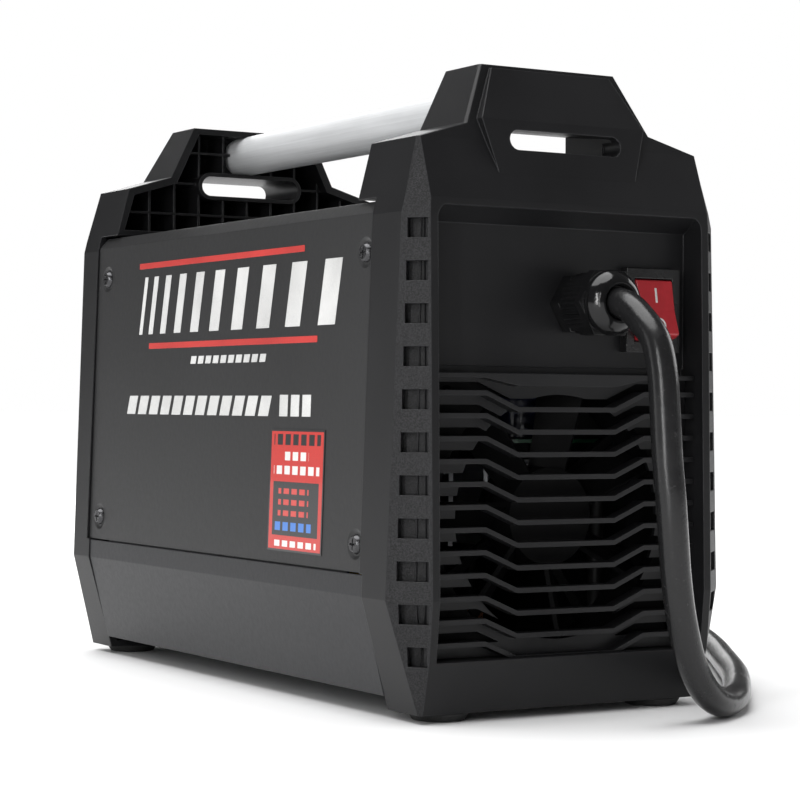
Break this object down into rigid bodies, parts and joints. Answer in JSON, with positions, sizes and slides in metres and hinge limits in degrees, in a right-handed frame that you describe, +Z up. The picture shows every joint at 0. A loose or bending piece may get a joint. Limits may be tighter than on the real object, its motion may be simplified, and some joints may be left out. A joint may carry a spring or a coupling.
{
  "type": "stick welding inverter",
  "caption": "Portable stick welding inverter: folded cover between two black moulded ends with carrying handle, rear fan grille, mains switch, gland and put-away power cord.",
  "frame": {"origin": "on the floor, under the middle of the body without its cord and its plug", "axes": "+Z up, +Y towards the mains end with the cord and the fan, -Y towards the end with the output sockets, X across"},
  "size_m": [0.3526, 0.4954, 0.27],
  "materials": {
    "frame_plastic": "fine grained moulding",
    "grille_plastic": "fine grained moulding",
    "cover_paint": "satin powder coat",
    "tray_paint": "satin powder coat",
    "foot_rubber": "matt",
    "handle_aluminium": "satin anodised",
    "screw_steel": "black zinc",
    "label_film": "printed film",
    "gland_plastic": "smooth moulding",
    "seal_rubber": "matt",
    "switch_plastic": "smooth moulding",
    "rocker_red": "translucent red",
    "fan_plastic": "moulded",
    "brass_parts": "machined",
    "board_green": "solder mask",
    "heatsink_aluminium": "extruded",
    "module_plastic": "moulded",
    "ferrite": "sintered",
    "winding_tape": "polyester tape",
    "copper": "drawn copper",
    "capacitor_sleeve": "shrink sleeve",
    "relay_plastic": "moulded",
    "panel_paint": "printed overlay",
    "display_lens": "smoked red lens",
    "led_green": "clear moulding",
    "led_amber": "clear moulding",
    "knob_plastic": "moulded",
    "socket_plastic": "moulded",
    "cord_rubber": "smooth sheath",
    "plug_plastic": "moulded"
  },
  "bodies": {
    "housing": {"front_frame": "frame_plastic", "rear_frame": "frame_plastic", "rear_grille": "grille_plastic", "cover": "cover_paint", "tray": "tray_paint", "foot_rear_left": "foot_rubber", "foot_rear_right": "foot_rubber", "foot_front_left": "foot_rubber", "foot_front_right": "foot_rubber", "handle_tube": "handle_aluminium", "cover_screws_left": "screw_steel", "cover_screws_right": "screw_steel", "rating_label": "label_film", "gland_base": "gland_plastic", "gland_collar": "gland_plastic", "gland_cap": "gland_plastic", "gland_seal": "seal_rubber", "gland_locknut": "gland_plastic", "switch_body": "switch_plastic", "fan_frame": "fan_plastic", "fan_screws": "screw_steel", "standoffs": "module_plastic", "main_board": "board_green", "heatsink_left": "heatsink_aluminium", "heatsink_right": "heatsink_aluminium", "power_modules": "module_plastic", "transformer_core": "ferrite", "transformer_coil": "winding_tape", "choke_core": "ferrite", "choke_coil": "copper", "bus_capacitors": "capacitor_sleeve", "rectifier": "module_plastic", "inrush_relay": "relay_plastic", "control_board": "board_green", "control_plate": "panel_paint", "display_window": "display_lens", "led_power": "led_green", "led_fault": "led_amber", "current_pot": "screw_steel", "force_pot": "screw_steel", "socket_left": "socket_plastic", "socket_right": "socket_plastic", "contact_left": "brass_parts", "contact_right": "brass_parts", "bus_bar_left": "copper", "bus_bar_right": "copper", "power_cord": "cord_rubber", "cord_coil": "cord_rubber", "cord_tail": "cord_rubber", "plug_body": "plug_plastic", "plug_pins": "brass_parts"},
    "switch_rocker": {"switch_rocker": "rocker_red"},
    "fan_rotor": {"fan_rotor": "fan_plastic"},
    "current_knob": {"current_knob": "knob_plastic"},
    "force_knob": {"force_knob": "knob_plastic"}
  },
  "joints": [
    {"name": "rocker", "type": "hinge", "parent": "housing", "child": "switch_rocker", "pos_m": [-0.047, 0.159, 0.1695], "axis": [1, 0, 0], "range_deg": [-27, 0]},
    {"name": "fan_spin", "type": "hinge", "parent": "housing", "child": "fan_rotor", "pos_m": [0, 0.14, 0.082], "axis": [0, 1, 0], "continuous": true},
    {"name": "current_turn", "type": "hinge", "parent": "housing", "child": "current_knob", "pos_m": [0.024, -0.16, 0.157], "axis": [0, 1, 0], "range_deg": [-150, 150]},
    {"name": "force_turn", "type": "hinge", "parent": "housing", "child": "force_knob", "pos_m": [-0.036, -0.16, 0.164], "axis": [0, 1, 0], "range_deg": [-150, 150]}
  ]
}
